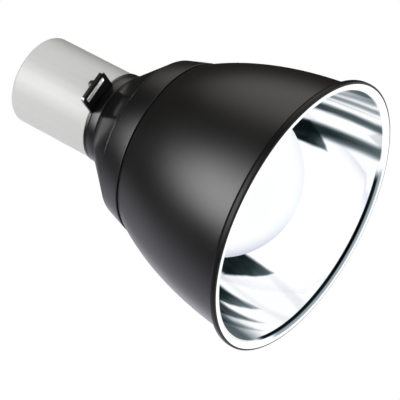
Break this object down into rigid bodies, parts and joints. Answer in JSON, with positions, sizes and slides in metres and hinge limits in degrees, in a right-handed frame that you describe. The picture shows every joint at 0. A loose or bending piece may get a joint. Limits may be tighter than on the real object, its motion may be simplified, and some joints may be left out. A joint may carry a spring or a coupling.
{
  "type": "grow lamp",
  "caption": "Dome reflector grow lamp with a mirror-lined shade, a screw-in globe bulb, a slotted hanging tab and a corded in-line rocker switch.",
  "frame": {"origin": "centre of the rim's front plane, on the lamp's axis, where the lamp rests when it stands on its rim", "axes": "+Z along the lamp's axis from the open rim to the back of the socket housing; the cord, switch, coil and plug are behind the neck on +Y; the hanging tab points to -Y, turned 13 degrees towards +X"},
  "size_m": [0.215, 0.215, 0.2797],
  "materials": {
    "black_paint": "satin black powder coat on spun aluminium",
    "grey_paint": "satin light grey paint",
    "mirror_aluminium": "mirror-polished spun aluminium",
    "zinc_steel": "bright zinc plate",
    "dark_screw": "blackened zinc plate",
    "porcelain": "white glazed porcelain",
    "nickel": "nickel plate",
    "brass": "plain stamped brass",
    "opal_plastic": "opal white, satin gloss",
    "white_plastic": "moulded white, fine texture",
    "circuit_board": "white solder mask",
    "black_glass": "glossy black insulator",
    "black_rubber": "matt black cord sheath",
    "black_plastic": "moulded black, fine texture",
    "brown_insulation": "brown wire insulation",
    "blue_insulation": "blue wire insulation",
    "green_insulation": "green and yellow wire insulation"
  },
  "bodies": {
    "lamp": {"dome_shell": "black_paint", "reflector": "mirror_aluminium", "vent_ring": "black_paint", "neck_cone": "black_paint", "collar": "black_paint", "neck_rivet_1": "zinc_steel", "neck_rivet_2": "zinc_steel", "neck_rivet_3": "zinc_steel", "hanger_ring": "black_paint", "stack_screw_1": "zinc_steel", "stack_nut_1": "zinc_steel", "stack_screw_2": "zinc_steel", "stack_nut_2": "zinc_steel", "stack_screw_3": "zinc_steel", "stack_nut_3": "zinc_steel", "socket_housing": "grey_paint", "housing_screw_1": "dark_screw", "housing_screw_2": "dark_screw", "lampholder_body": "porcelain", "lampholder_shell": "nickel", "centre_contact": "brass", "neutral_rivet": "brass", "socket_bracket": "zinc_steel", "holder_screw_1": "zinc_steel", "holder_screw_2": "zinc_steel", "live_terminal": "brass", "neutral_terminal": "brass", "earth_screw": "zinc_steel", "live_wire": "brown_insulation", "neutral_wire": "blue_insulation", "earth_wire": "green_insulation", "cord_grommet": "black_rubber", "cord_to_switch": "black_rubber", "switch_base": "black_plastic", "switch_cover": "black_plastic", "rocker_pin": "zinc_steel", "switch_screw_1": "zinc_steel", "switch_screw_2": "zinc_steel", "switch_terminal_in": "brass", "switch_terminal_out": "brass", "switch_contact_spring": "brass", "cord_to_plug": "black_rubber", "cord_tie": "black_plastic", "plug_body": "black_plastic", "plug_pin_1": "nickel", "plug_pin_2": "nickel", "plug_earth_clip_1": "nickel", "plug_earth_clip_2": "nickel"},
    "bulb_tip": {"bulb_tip_contact": "nickel"},
    "bulb": {"bulb_globe": "opal_plastic", "bulb_housing": "white_plastic", "led_board": "circuit_board", "driver_board": "circuit_board", "bulb_screw_shell": "nickel", "bulb_insulator": "black_glass"},
    "rocker": {"switch_rocker": "black_plastic"}
  },
  "joints": [
    {"name": "bulb_travel", "type": "slide", "parent": "lamp", "child": "bulb_tip", "axis": [0, 0, -1], "range_m": [0, 0.02]},
    {"name": "bulb_turn", "type": "hinge", "parent": "bulb_tip", "child": "bulb", "pos_m": [0, 0, 0.16], "axis": [0, 0, -1], "range_deg": [0, 1980]},
    {"name": "rocker_tilt", "type": "hinge", "parent": "lamp", "child": "rocker", "pos_m": [0, 0.058, 0.208], "axis": [1, 0, 0], "range_deg": [0, 14]}
  ],
  "couplings": [
    {"joint": "bulb_travel", "follows": "bulb_turn", "m_per_rad": 0.00057773}
  ]
}
